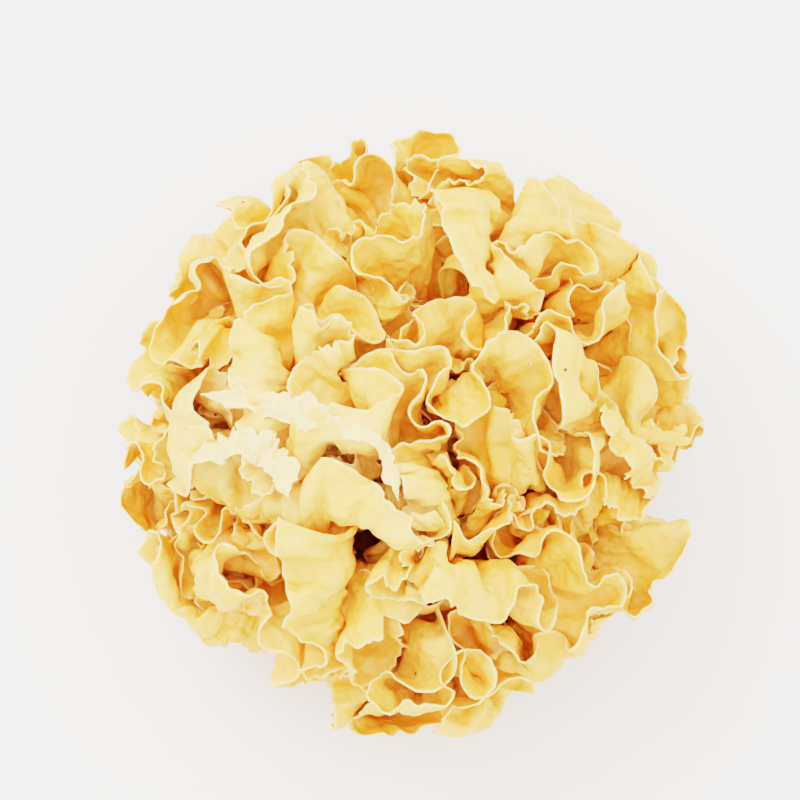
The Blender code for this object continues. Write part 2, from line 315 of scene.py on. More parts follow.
def without_middles(moves, axis):
    """Hands the moves of the samples that with_middles adds back to their neighbours."""
    moves = moves.swapaxes(axis, -1)
    less = moves[..., ::2].copy()
    less[..., 1:] += 0.5 * moves[..., 1::2]
    less[..., :-1] += 0.5 * moves[..., 1::2]
    return less.swapaxes(axis, -1)


def samples_of(sheets, finer):
    """Samples on straight-sided sheets; finer is how often rows and columns are doubled."""
    for axis, times in zip((2, 3), finer):
        for _ in range(times):
            sheets = with_middles(sheets, axis)
    return np.ascontiguousarray(sheets)


def moves_of_points(moves, finer):
    for axis, times in zip((2, 3), finer):
        for _ in range(times):
            moves = without_middles(moves, axis)
    return moves


def near_pairs(points, reach):
    """Index pairs of points closer than reach, found on a grid of cubic cells."""
    cell = np.floor((points - points.min(1)[:, None]) / reach).astype(np.int64) + 1
    nx, ny, nz = (int(m) + 2 for m in cell.max(1))
    key = (cell[0] * ny + cell[1]) * nz + cell[2]
    order = np.argsort(key, kind="stable")
    key = key[order]
    points = points[:, order]
    start = np.searchsorted(key, np.arange(nx * ny * nz + 1))
    here = np.arange(len(key))
    first = []
    second = []
    for dx, dy in ((0, 0), (0, 1), (1, -1), (1, 0), (1, 1)):
        column = key + (dx * ny + dy) * nz
        begin = here + 1 if (dx, dy) == (0, 0) else start[column - 1]
        count = np.maximum(start[column + 2] - begin, 0)
        a = np.repeat(here, count)
        b = np.arange(len(a)) + np.repeat(begin - (np.cumsum(count) - count), count)
        near = np.flatnonzero(squared(points[:, a] - points[:, b]) < reach * reach)
        first.append(order[a[near]])
        second.append(order[b[near]])
    return np.concatenate(first), np.concatenate(second)


def pairs_to_part(sheets, wide, tall, spacing, finer):
    """Pairs of samples that may come too close: in two sheets, or far apart along one sheet."""
    samples = samples_of(sheets, finer)
    a, b = near_pairs(samples.reshape(3, -1), spacing * 1.35)
    _, _, rows, columns = samples.shape
    frond_a, row_a, column_a = a // (rows * columns), a // columns % rows, a % columns
    frond_b, row_b, column_b = b // (rows * columns), b // columns % rows, b % columns
    per_row, per_column = 2 ** finer[0], 2 ** finer[1]
    cell_column = np.minimum(np.minimum(column_a, column_b) // per_column, wide.shape[2] - 1)
    cell_row = np.minimum(np.minimum(row_a, row_b) // per_row, tall.shape[1] - 1)
    across = (column_a - column_b) / per_column * wide[frond_a, row_a // per_row, cell_column]
    up = (row_a - row_b) / per_row * tall[frond_a, cell_row, column_a // per_column]
    apart = across * across + up * up > (1.7 * spacing) ** 2
    keep = np.flatnonzero((frond_a != frond_b) | apart)
    return a[keep], b[keep]


def part_sheets(sheets, pairs, spacing, finer):
    """Moves sheets apart where their samples come closer than spacing."""
    samples = samples_of(sheets, finer)
    points = samples.reshape(3, -1)
    n = points.shape[1]
    a, b = pairs
    apart = points[:, a] - points[:, b]
    distance = squared(apart)
    hit = np.flatnonzero(distance < spacing * spacing)
    a, b = a[hit], b[hit]
    distance = np.sqrt(distance[hit] + 1e-9)
    apart = apart[:, hit] * (0.5 * (spacing - distance) / distance)
    move = np.stack([np.bincount(a, c, n) - np.bincount(b, c, n) for c in apart])
    count = np.bincount(a, minlength=n) + np.bincount(b, minlength=n)
    move = (move / np.sqrt(np.maximum(count, 1))).reshape(samples.shape)
    if finer == (0, 0):
        return sheets + 0.7 * move
    touched = (count > 0).astype(float).reshape((1,) + samples.shape[1:])
    weight = np.maximum(moves_of_points(touched, finer), 0.5)
    return sheets + 0.9 * moves_of_points(move, finer) / weight


def grow(sheets, rest, rest_end, steps, spacing, finer, first_spacing=None, bend=BEND, ramp=1.0):
    """Grows the rest lengths over a share of the steps, then lets the sheets settle."""
    foot = sheets[:, :, 0].copy()
    first_spacing = first_spacing or spacing
    pairs = None
    for step in range(steps):
        share = min(1.0, (step + 1) / (ramp * steps))
        wide, tall = (a + (b - a) * share for a, b in zip(rest, rest_end))
        half_width = 0.5 * (wide[:, 1:] + wide[:, :-1])
        half_height = 0.5 * (tall[:, :, 1:] + tall[:, :, :-1])
        slant = np.sqrt(half_width * half_width + half_height * half_height)
        for _ in range(3 if bend else 1):
            sheets = relax(sheets, wide, tall, slant, bend)
        now = first_spacing + (spacing - first_spacing) * share
        if step % 5 == 0:
            pairs = pairs_to_part(sheets, wide, tall, now, finer)
        sheets = part_sheets(sheets, pairs, now, finer)
        keep_on_base(sheets, foot, tall)
        keep_out_of_channels(sheets)
        keep_in_head(sheets)
    return sheets


def steady(array):
    """Rounds to a millionth, so that every later sum is the same on any processor."""
    return np.round(array, 6)


def directions():
    """One direction for each frond, evenly spread from the top of the base to below its shoulder."""
    i = np.arange(FROND_COUNT) + 0.5
    z = 1 - (1 - LOWEST_DIRECTION) * i / FROND_COUNT
    turn = i * math.pi * (3 - math.sqrt(5))
    r = np.sqrt(1 - z * z)
    return np.stack([r * np.cos(turn), r * np.sin(turn), z], 1)


def reach_to_outside(direction):
    """The way from the base to the outside of the head."""
    steps = np.linspace(FOOT_RADIUS, HEAD_DEPTH, 800)
    start = np.array((0, 0, BASE_SHOULDER))
    ratio, _ = head_ratio((start + steps[:, None] * direction).T)
    return steps[np.argmax(ratio > 1)] - FOOT_RADIUS


def arc(out, side, angles):
    return np.cos(angles)[:, None] * out + np.sin(angles)[:, None] * side


def foot_side(rng, out, placed):
    """The direction in which a foot runs: the one that stays clearest of the feet placed so far."""
    first = np.cross(out, (0.3, 0.2, 1.0))
    first /= math.sqrt(squared(first))
    second = np.cross(out, first)
    probe = np.linspace(-FOOT_HALF_ANGLE, FOOT_HALF_ANGLE, 9)
    best = -1.0
    side = first
    for turn in rng.uniform(0, math.pi, FOOT_TRIES):
        run = math.cos(turn) * first + math.sin(turn) * second
        apart = arc(out, run, probe)[:, None] - placed[None]
        nearest = steady(np.sqrt((apart * apart).sum(2)).min(initial=2.0))
        if nearest > best:
            best = nearest
            side = run
    return side, arc(out, side, probe)


def sprout(rng):
    """The first short strips, and how far each frond will reach."""
    sheets = np.zeros((3, FROND_COUNT, ROWS, COLUMNS))
    height = np.zeros(FROND_COUNT)
    angles = np.linspace(-FOOT_HALF_ANGLE, FOOT_HALF_ANGLE, COLUMNS)
    radius = FOOT_RADIUS + np.linspace(0, SPROUT_HEIGHT, ROWS)
    placed = np.zeros((0, 3))
    for frond, out in enumerate(directions()):
        side, foot = foot_side(rng, out, placed)
        placed = np.concatenate([placed, foot])
        sheets[:, frond] = radius[None, :, None] * arc(out, side, angles).T[:, None, :]
        height[frond] = reach_to_outside(out) * rng.uniform(*HEIGHT_OF_REACH)
    upright = radius[:, None] / np.sqrt(sheets[0] ** 2 + sheets[1] ** 2)
    sheets[:2] *= np.where(sheets[2] < 0, upright, 1)
    sheets[2] += BASE_SHOULDER
    return sheets, height


def grown_lengths(rng, height):
    """The final rest lengths of the finer sheets: rows in uneven lobes, columns evenly."""
    rows, columns = 2 * ROWS - 1, 2 * COLUMNS - 1
    up = np.linspace(0, 1, rows)[:, None]
    x = (np.arange(columns - 1) + 0.5) / (columns - 1)
    lobes = np.zeros((FROND_COUNT, 1, columns - 1))
    for frond in range(FROND_COUNT):
        for wave, strength in zip(LOBE_WAVES, LOBE_STRENGTHS):
            lobes[frond, 0] += rng.normal(0, strength) * np.cos(2 * math.pi * (wave * x + rng.random()))
    size = 1 + (rng.uniform(*SIZE_RANGE, FROND_COUNT)[:, None, None] - 1) * up
    foot = 2 * FOOT_HALF_ANGLE * FOOT_RADIUS
    row_length = foot + (MARGIN_LENGTH - foot) * up**MARGIN_POWER
    wide = row_length / (columns - 1) * size * np.clip(1 + lobes * up, *LOBE_LIMITS)
    tall = np.zeros((FROND_COUNT, rows - 1, columns)) + (height / (rows - 1))[:, None, None]
    return steady(wide), steady(tall)


def measured(sheets):
    """The present lengths along rows and columns."""
    return (np.sqrt(squared(sheets[..., 1:] - sheets[..., :-1])),
            np.sqrt(squared(sheets[:, :, 1:] - sheets[:, :, :-1])))


def smooth_middles(a):
    """Doubles the samples along the last axis; the new ones lie on a smooth curve through the old."""
    more = np.empty(a.shape[:-1] + (2 * a.shape[-1] - 1,))
    middle = 0.5 * (a[..., 1:] + a[..., :-1])
    around = 0.5 * (a[..., :-3] + a[..., 3:])
    middle[..., 1:-1] += 0.125 * (middle[..., 1:-1] - around)
    more[..., ::2] = a
    more[..., 1::2] = middle
    return more


def refine(sheets, wide, tall):
    """Halves the cells of the sheets and their rest lengths."""
    sheets = smooth_middles(smooth_middles(sheets).swapaxes(2, 3)).swapaxes(2, 3)
    wide = np.repeat(with_middles(wide, 1), 2, 2) / 2
    tall = np.repeat(with_middles(tall, 2), 2, 1) / 2
    return np.ascontiguousarray(sheets), wide, tall


def unevenness(rng, sheets):
    """Small bumps that decide where folds start, none at the foot."""
    up = np.linspace(0, 1, sheets.shape[2])[:, None]
    return steady(rng.normal(0, UNEVENNESS, sheets.shape) * up)


def grow_main_folds(rng):
    """The same growth as the solids of the fronds have, before they settle."""
    sheets, height = sprout(rng)
    wide_end, tall_end = grown_lengths(rng, steady(height))
    sheets = steady(sheets) + unevenness(rng, sheets)
    wide, tall = measured(sheets)
    coarse_wide = wide_end[:, ::2, ::2] + wide_end[:, ::2, 1::2]
    coarse_tall = 2 * tall_end[:, ::2, ::2]
    half = (wide + 0.5 * (coarse_wide - wide), tall + 0.65 * (coarse_tall - tall))
    sheets = grow(sheets, (wide, tall), half, 200, FOLD_SPACING, (1, 1), 0.35 * FOLD_SPACING)
    sheets, wide, tall = refine(sheets, *half)
    sheets = sheets + unevenness(rng, sheets)
    return grow(sheets, (wide, tall), (wide_end, tall_end), 300, RUFFLE_SPACING, (0, 0), ramp=0.8)


# Fine growth


def unit(v):
    return v / length(v)


def cross(a, b):
    return np.stack([a[1] * b[2] - a[2] * b[1], a[2] * b[0] - a[0] * b[2], a[0] * b[1] - a[1] * b[0]])


def slopes(values, axis):
    """Central differences along an axis, one-sided at its ends."""
    v = values.swapaxes(axis, -1)
    d = np.empty_like(v)
    d[..., 1:-1] = 0.5 * (v[..., 2:] - v[..., :-2])
    d[..., 0] = v[..., 1] - v[..., 0]
    d[..., -1] = v[..., -1] - v[..., -2]
    return d.swapaxes(axis, -1)


def normals(sheets):
    return unit(cross(slopes(sheets, -1), slopes(sheets, -2)))


def waves(rng, count, columns, numbers, strength):
    """Smooth random curves along the margins of some sheets, each made of a few waves."""
    x = np.linspace(0, 1, columns)
    curve = np.zeros((count, 1, columns))
    for sheet in range(count):
        for number in numbers:
            turn = number * rng.uniform(0.85, 1.15) * x + rng.random()
            curve[sheet, 0] += rng.normal(0, strength) * np.sin(2 * math.pi * turn)
    return steady(curve)


class Branches:
    """Where the smaller sheets stand on the faces of the fronds."""

    def __init__(self, rng, rows, columns):
        count = FROND_COUNT * BRANCHES
        self.parent = np.repeat(np.arange(FROND_COUNT), BRANCHES)
        place = np.tile(np.arange(BRANCHES), FROND_COUNT)
        middle = 0.07 + 0.86 * (place + 0.5 + rng.uniform(-0.3, 0.3, count)) / BRANCHES
        half = rng.uniform(*BRANCH_HALF_FOOT, count)
        self.height = rng.uniform(*BRANCH_HEIGHT, count)
        slant = rng.uniform(-BRANCH_SLANT, BRANCH_SLANT, count)
        self.side = np.where(rng.random(count) < 0.5, -1.0, 1.0)[:, None]
        along = np.linspace(-1, 1, BRANCH_COLUMNS)
        u = steady(np.clip(middle[:, None] + half[:, None] * along, 0.01, 0.99) * (columns - 1))
        v = steady((self.height[:, None] + slant[:, None] * along) * (rows - 1))
        self.row, self.column = v.astype(int), u.astype(int)
        self.up, self.across = v - self.row, u - self.column

    def read(self, field):
        """Reads an array of the fronds along the feet of the branches."""
        owner, i, j = self.parent[:, None], self.row, self.column
        low = field[:, owner, i, j] * (1 - self.across) + field[:, owner, i, j + 1] * self.across
        high = field[:, owner, i + 1, j] * (1 - self.across) + field[:, owner, i + 1, j + 1] * self.across
        return low * (1 - self.up) + high * self.up

    def feet(self, fronds):
        """The feet, and the directions in which the branches leave their frond."""
        away = self.side * unit(self.read(normals(fronds)))
        onward = unit(self.read(unit(slopes(fronds, -2))))
        return self.read(fronds), unit(BRANCH_LEAN[0] * onward + BRANCH_LEAN[1] * away)

    def sprout(self, rng, fronds):
        """The first short strips, and the final rest lengths."""
        foot, out = self.feet(fronds)
        up = np.linspace(0, 1, BRANCH_ROWS)[:, None]
        sheets = foot[:, :, None] + out[:, :, None] * (BRANCH_SPROUT * up)
        sheets = sheets + steady(rng.normal(0, 0.08, sheets.shape)) * up
        wide, tall = measured(sheets)
        frond_height = measured(fronds)[1].sum(1).mean(1)[self.parent]
        count = len(self.parent)
        reach = (1 - self.height) * frond_height * BRANCH_REACH * rng.uniform(0.8, 1.15, count)
        foot_length = wide[:, :1].sum(2)[:, :, None]
        margin = BRANCH_MARGIN * rng.uniform(0.75, 1.3, count)[:, None, None]
        lobes = np.clip(waves(rng, count, BRANCH_COLUMNS - 1, (1, 2, 3, 4), 0.3), -0.5, 0.6)
        row_length = foot_length + (margin - foot_length) * steady(up**1.4)
        wide_end = row_length / (BRANCH_COLUMNS - 1) * (1 + lobes * up)
        tall_end = np.zeros_like(tall) + (reach / (BRANCH_ROWS - 1))[:, None, None]
        return sheets, (wide, tall), (steady(wide_end), steady(tall_end))


class Samples:
    """The points of all sheets that keep clear of each other; feet have only some of their columns."""

    def __init__(self, fronds, branches, parent):
        self.shapes = (fronds.shape, branches.shape)
        sheet, row, column, chosen = [], [], [], []
        first_sheet = 0
        for _, count, rows, columns in self.shapes:
            k, i, j = np.indices((count, rows, columns))
            up = i / (rows - 1)
            stride = np.where(up < 0.25, 8, np.where(up < 0.5, 4, np.where(up < 0.75, 2, 1)))
            if first_sheet:
                stride = np.where(up < 0.5, 2, 1)
            sheet.append(k.ravel() + first_sheet)
            row.append(i.ravel())
            column.append(j.ravel())
            chosen.append((j % stride == 0).ravel())
            first_sheet += count
        self.chosen = np.flatnonzero(np.concatenate(chosen))
        self.sheet = np.concatenate(sheet)[self.chosen]
        self.row = np.concatenate(row)[self.chosen]
        self.column = np.concatenate(column)[self.chosen]
        owners = np.concatenate([np.arange(FROND_COUNT), parent])
        self.owner = owners[self.sheet]
        self.branch = self.sheet >= FROND_COUNT

    def points(self, groups):
        return np.concatenate([g.reshape(3, -1) for g in groups], 1)

    def pairs(self, groups, lengths, spacing):
        """Pairs of samples that may come too close."""
        a, b = near_pairs(self.points(groups)[:, self.chosen], spacing * 1.35)
        wide = np.concatenate([np.concatenate([w, w[..., -1:]], 2).ravel() for w, _ in lengths])
        tall = np.concatenate([np.concatenate([t, t[:, -1:]], 1).ravel() for _, t in lengths])
        wide, tall = wide[self.chosen], tall[self.chosen]
        across = (self.column[a] - self.column[b]) * wide[a]
        up = (self.row[a] - self.row[b]) * tall[a]
        apart = across * across + up * up > (1.7 * spacing) ** 2
        kin = (self.owner[a] == self.owner[b]) & (self.branch[a] != self.branch[b])
        outer = np.where(self.branch[a], a, b)
        at_foot = kin & (self.row[outer] * tall[outer] < 1.8 * spacing)
        keep = np.flatnonzero(np.where(self.sheet[a] == self.sheet[b], apart, ~at_foot))
        return a[keep], b[keep]

    def part(self, groups, pairs, spacing):
        """Moves samples apart where they come closer than spacing."""
        everything = self.points(groups)
        points = everything[:, self.chosen]
        n = points.shape[1]
        a, b = pairs
        apart = points[:, a] - points[:, b]
        distance = squared(apart)
        hit = np.flatnonzero(distance < spacing * spacing)
        a, b = a[hit], b[hit]
        distance = np.sqrt(distance[hit] + 1e-9)
        apart = apart[:, hit] * (0.5 * (spacing - distance) / distance)
        move = np.stack([np.bincount(a, c, n) - np.bincount(b, c, n) for c in apart])
        count = np.bincount(a, minlength=n) + np.bincount(b, minlength=n)
        everything[:, self.chosen] += move * (0.7 / np.sqrt(np.maximum(count, 1)))
        border = math.prod(self.shapes[0][1:])
        groups = everything[:, :border], everything[:, border:]
        return [group.reshape(shape) for group, shape in zip(groups, self.shapes)]


def stiffen(sheets, wide, tall):
    """Pushes points some cells apart away from each other, so that folds stay wide."""
    move = np.zeros_like(sheets)
    along = np.zeros(sheets.shape[1:])
    along[..., 1:] = np.cumsum(wide, 2)
    for cells in (2, 4):
        rest = along[..., cells:] - along[..., :-cells]
        c = spring(sheets[..., :-cells], sheets[..., cells:], rest, FINE_BEND)
        move[..., :-cells] += c
        move[..., cells:] -= c
    c = spring(sheets[:, :, :-2], sheets[:, :, 2:], tall[:, 1:] + tall[:, :-1], FINE_BEND)
    move[:, :, :-2] += c
    move[:, :, 2:] -= c
    return sheets + move


def grow_fine_folds(rng, fronds):
    """Finer folds along the margins and new sheets between them; the lower halves of the fronds stay."""
    fronds = smooth_middles(smooth_middles(fronds))
    start = np.ascontiguousarray(smooth_middles(fronds.swapaxes(2, 3)).swapaxes(2, 3))
    _, count, rows, columns = start.shape
    up = np.linspace(0, 1, rows)[:, None]
    ripple = waves(rng, count, columns, RIPPLE_WAVES, RIPPLE)
    fronds = start + normals(start) * (ripple * up * up)
    fronds = fronds + steady(rng.normal(0, FINE_UNEVENNESS, fronds.shape)) * up
    wide, tall = measured(start)
    patches = np.clip(1 + waves(rng, count, columns - 1, (1, 2, 3, 5, 7), 0.35), 0.3, 1.9)
    wide_end = wide * (1 + FINE_GROWTH * patches * steady(up**FINE_POWER))
    tall_end = tall * (1 + HEIGHT_GROWTH * up[1:])
    feet = Branches(rng, rows, columns)
    branches, branch_start, branch_end = feet.sprout(rng, start)
    samples = Samples(fronds, branches, feet.parent)
    first = ((wide, tall), branch_start)
    last = ((wide_end, tall_end), branch_end)
    hold = HOLD * np.clip(1 - up / HELD_HEIGHT, 0, 1)
    foot = fronds[:, :, 0].copy()
    groups = [fronds, branches]
    pairs = None
    steps = FINE_STEPS
    for step in range(steps):
        share = min(1.0, (step + 1) / (0.8 * steps))
        lengths = [tuple(a + (b - a) * share for a, b in zip(*ends)) for ends in zip(first, last)]
        for i, (now_wide, now_tall) in enumerate(lengths):
            half_width = 0.5 * (now_wide[:, 1:] + now_wide[:, :-1])
            half_height = 0.5 * (now_tall[:, :, 1:] + now_tall[:, :, :-1])
            slant = np.sqrt(half_width * half_width + half_height * half_height)
            for _ in range(2):
                groups[i] = relax(groups[i], now_wide, now_tall, slant, 0)
                groups[i] = stiffen(groups[i], now_wide, now_tall)
        spacing = FIRST_FINE_SPACING + (FINE_SPACING - FIRST_FINE_SPACING) * min(1.0, 1.3 * share)
        if step % 5 == 0:
            pairs = samples.pairs(groups, lengths, spacing)
        groups = samples.part(groups, pairs, spacing)
        groups[0] += hold * (start - groups[0])
        keep_on_base(groups[0], foot, lengths[0][1])
        branch_foot, out = feet.feet(groups[0])
        groups[1][:, :, 0] = branch_foot
        groups[1][:, :, 1] += 0.5 * (branch_foot + out * lengths[1][1][:, 0] - groups[1][:, :, 1])
        for group in groups:
            if share < CHANNELS_CLEAR:
                keep_out_of_channels(group)
            keep_in_head(group)
    for group in groups:
        droop(group)
    return groups[0], groups[1], feet


def droop(sheets):
    """Lets the lowest parts hang down to the table that the head lies on."""
    low = np.clip((DROOP_HEIGHT - sheets[2]) / (DROOP_HEIGHT - LOWEST_FROND), 0, 1)
    sheets[2] -= DROOP * low * low


# Meshes


def curve_weights(places, count):
    """Weights that read a smooth curve through evenly spaced points at places from 0 to 1."""
    at = np.clip(np.asarray(places) * (count - 1), 0, count - 1)
    first = np.minimum(at.astype(int), count - 2)
    t = at - first
    index = np.clip(first[..., None] + np.arange(-1, 3), 0, count - 1)
    weight = np.stack([
        ((2 - t) * t - 1) * t / 2,
        ((3 * t - 5) * t * t + 2) / 2,
        ((4 - 3 * t) * t + 1) * t / 2,
        (t - 1) * t * t / 2,
    ], -1)
    return index, weight


def read_row(field, u, v):
    """Reads an array indexed by axis, row and column at the places u and v, which run from 0 to 1."""
    index, weight = curve_weights(u, field.shape[2])
    strip = (field[:, :, index] * weight).sum(-1)
    index, weight = curve_weights(v, field.shape[1])
    return (strip[:, index, np.arange(len(u))[:, None]] * weight).sum(-1)


def row_heights(zones):
    """The height and the number of parts of each shown row, from the foot up to the margin."""
    rows = []
    for low, high, count, parts in zones:
        for v in np.linspace(low, high, count + 1)[:-1]:
            rows.append((v, parts))
    return rows


def value_noise(rng, size):
    """Random numbers on a grid that repeats, to be read smoothly."""
    return rng.uniform(-1, 1, (size, size))


def read_noise(table, x, y):
    i, j = np.floor(x).astype(int), np.floor(y).astype(int)
    a, b = x - i, y - j
    a, b = a * a * (3 - 2 * a), b * b * (3 - 2 * b)
    size = len(table)
    i, j, i1, j1 = i % size, j % size, (i + 1) % size, (j + 1) % size
    low = table[i, j] * (1 - a) + table[i1, j] * a
    high = table[i, j1] * (1 - a) + table[i1, j1] * a
    return low * (1 - b) + high * b


def joined_faces(rows):
    """Faces between rows of vertex numbers, each row with as many parts as the last or twice as many."""
    faces = []
    for a, b in zip(rows[:-1], rows[1:]):
        if len(a) == len(b):
            faces.append(np.stack([a[:-1], a[1:], b[1:], b[:-1]], 1))
        else:
            faces.append(np.stack([a[:-1], a[1:], b[2::2], b[1::2], b[:-2:2]], 1))
    return faces


def grid_faces(numbers):
    """The faces of a grid of vertex numbers."""
    corners = (numbers[:-1, :-1], numbers[1:, :-1], numbers[1:, 1:], numbers[:-1, 1:])
    return np.stack(corners, -1).reshape(-1, 4)


def mesh_from(name, points, faces):
    """A mesh from points in millimetres and from groups of faces, each an array with one face a line."""
    mesh = bpy.data.meshes.new(name)
    mesh.vertices.add(len(points))
    mesh.vertices.foreach_set("co", (points * MM).astype(np.float32).ravel())
    sizes = np.concatenate([np.full(len(f), f.shape[1]) for f in faces])
    mesh.loops.add(int(sizes.sum()))
    mesh.loops.foreach_set("vertex_index", np.concatenate([f.ravel() for f in faces]).astype(np.int32))
    mesh.polygons.add(len(sizes))
    mesh.polygons.foreach_set("loop_start", (np.cumsum(sizes) - sizes).astype(np.int32))
    mesh.update(calc_edges=True)
    mesh.validate()
    mesh.shade_smooth()
    return mesh


def set_values(mesh, name, values):
    mesh.attributes.new(name, "FLOAT", "POINT").data.foreach_set("value", values.astype(np.float32))


def rest_on_table(points):
    """Flattens what would reach below the table, so that it lies just above it."""
    z = points[:, 2]
    room = FLAT_HEIGHT - TABLE_GAP
    flat = TABLE_GAP + room * np.exp(np.minimum(z - FLAT_HEIGHT, 0) / room)
    points[:, 2] = np.where(z < FLAT_HEIGHT, flat, z)


class Sheet:
    """A closed thin sheet, as points, faces and values for its finish."""

    def __init__(self, rng, sheet, zones, foot_thickness, low):
        tall = np.sqrt(squared(sheet[:, 1:] - sheet[:, :-1])).sum(0).mean()
        wide = np.sqrt(squared(sheet[:, :, 1:] - sheet[:, :, :-1]))[-1].sum()
        field = normals(sheet)
        tables = [value_noise(rng, 64) for _ in range(4)]
        top, bottom, numbers, heights, edges = [], [], [], [], []
        n = 0
        shown = row_heights(zones)
        parts = zones[-1][3]
        shown.append((1 - RIM_WIDTH / tall, parts))
        shown.append((1.0, parts))
        for v, parts in shown:
            u = np.linspace(0, 1, parts + 1)
            cut = self.outline(tables, u * wide, tall)
            place = v * cut
            points = read_row(sheet, u, place)
            normal = unit(read_row(field, u, place))
            x, y = u * wide, place * tall
            free = np.clip((place - 0.25) / 0.5, 0, 1)
            swell = sum(high * read_noise(t, x / a, y / b) for t, (high, a, b) in zip(tables, SWELLS))
            high, a, b = FRILLS
            frill = high * read_noise(tables[2], x / a, y / b) * np.clip((place - 0.72) / 0.28, 0, 1) ** 1.5
            patch = np.clip(read_noise(tables[3], x / 19.0, 0 * x + 0.5) + 0.55, 0, 1)
            high, a, b = PLEATS
            pleat = high * read_noise(tables[2], x / a + 9.1, y / b) * np.clip((place - 0.35) / 0.5, 0, 1)
            points = points + normal * (swell * free + pleat + frill * patch)
            thick = foot_thickness + (MARGIN_THICKNESS - foot_thickness) * np.clip(place * 1.4, 0, 1)
            if v == 1.0:
                thick = thick * (RIM_THICKNESS / MARGIN_THICKNESS)
            top.append(points + normal * (thick / 2))
            bottom.append(points - normal * (thick / 2))
            numbers.append(np.arange(n, n + parts + 1))
            heights.append(low + (1 - low) * place)
            edges.append((cut - place) * tall)
            n += parts + 1
        self.points = np.concatenate([np.concatenate(top, 1), np.concatenate(bottom, 1)], 1).T
        rest_on_table(self.points)
        faces = joined_faces(numbers)
        under = [f[:, ::-1] + n for f in faces]
        left = np.array([row[0] for row in numbers])
        right = np.array([row[-1] for row in numbers])
        rim = np.concatenate([numbers[0], right[1:], numbers[-1][::-1][1:], left[::-1][1:]])
        walls = np.stack([rim[:-1], rim[:-1] + n, rim[1:] + n, rim[1:]], 1)
        self.faces = faces + under + [walls]
        self.height = np.tile(np.concatenate(heights), 2)
        self.edge = np.tile(np.concatenate(edges), 2)

    def outline(self, tables, x, tall):
        """How far up the margin runs: lobes with notches between them and frayed places.

        The second places in the tables only pick rows that the relief doesn't read there.
        """
        lobe = read_noise(tables[0], x / LOBES[1] + 7.3, 0 * x + 3.5)
        bays = np.clip(read_noise(tables[1], x / BAYS[1], 0 * x + 9.5) - 0.35, 0, 1)
        fray = np.abs(read_noise(tables[2], x / FRAYS[1], 0 * x + 1.5))
        where = np.clip(read_noise(tables[3], x / 12.0, 0 * x + 5.5) * 3 - 0.2, 0.12, 1)
        cut = LOBES[0] * lobe + LOBES[0] + BAYS[0] * bays + FRAYS[0] * fray * where
        return 1 - cut / tall


def join_sheets(name, sheets):
    """One mesh of several closed sheets."""
    shift = 0
    faces = []
    for sheet in sheets:
        faces += [f + shift for f in sheet.faces]
        shift += len(sheet.points)
    points = np.concatenate([s.points for s in sheets])
    mesh = mesh_from(name, points, faces)
    set_values(mesh, "height", np.concatenate([s.height for s in sheets]))
    set_values(mesh, "edge", np.concatenate([s.edge for s in sheets]))
    finish_values(mesh, points, FROND_PALENESS * nearness(points))
    return mesh


def finish_values(mesh, points, pale):
    ratio, _ = head_ratio(points.T)
    # How far out a point lies in the head; it drives the fronds' colour ramp, which is partly painted shade
    # deep inside the head.
    set_values(mesh, "out", ratio)
    set_values(mesh, "pale", pale)


# The torn membrane on top


def path_at(path, s):
    """Places and half widths along a path of (x, y, half width), at s from 0 to 1."""
    path = np.array(path).T
    steps = np.hypot(*(path[:2, 1:] - path[:2, :-1]))
    along = np.concatenate([[0], np.cumsum(steps)])
    return np.stack([np.interp(s * along[-1], along, row) for row in path]), along[-1]


def nearness(points):
    """1 on the paths of the torn membrane, as seen from above, and 0 a few millimetres away."""
    best = np.full(len(points), 1e9)
    for path in MEMBRANE_PATHS:
        spots, _ = path_at(path, np.linspace(0, 1, 24))
        for x, y, _ in spots.T:
            best = np.minimum(best, (points[:, 0] - x) ** 2 + (points[:, 1] - y) ** 2)
    return np.exp(-best / PALE_REACH) * np.clip((points[:, 2] - 45) / 10, 0, 1)


class Drape:
    """The height of a cloth pulled over the head, on a grid of one millimetre."""

    def __init__(self, points):
        size = 2 * DRAPE_REACH + 1
        self.height = np.zeros((size, size))
        place = np.round(points[:2]).astype(int) + DRAPE_REACH
        inside = np.all((place >= 0) & (place < size), 0)
        np.maximum.at(self.height, tuple(place[:, inside]), points[2, inside])
        h = self.height
        for _ in range(DRAPE_SPREADS):
            for a, b in ((h[1:], h[:-1]), (h[:-1], h[1:]), (h[:, 1:], h[:, :-1]), (h[:, :-1], h[:, 1:])):
                np.maximum(a, b - DRAPE_SLOPE, out=a)
        for _ in range(DRAPE_SMOOTHINGS):
            h[1:-1, 1:-1] = 0.2 * (h[1:-1, 1:-1] + h[2:, 1:-1] + h[:-2, 1:-1] + h[1:-1, 2:] + h[1:-1, :-2])

    def at(self, x, y):
        x, y = x + DRAPE_REACH, y + DRAPE_REACH
        i, j = x.astype(int), y.astype(int)
        a, b = x - i, y - j
        h = self.height
        low = h[i, j] * (1 - a) + h[i + 1, j] * a
        high = h[i, j + 1] * (1 - a) + h[i + 1, j + 1] * a
        return low * (1 - b) + high * b


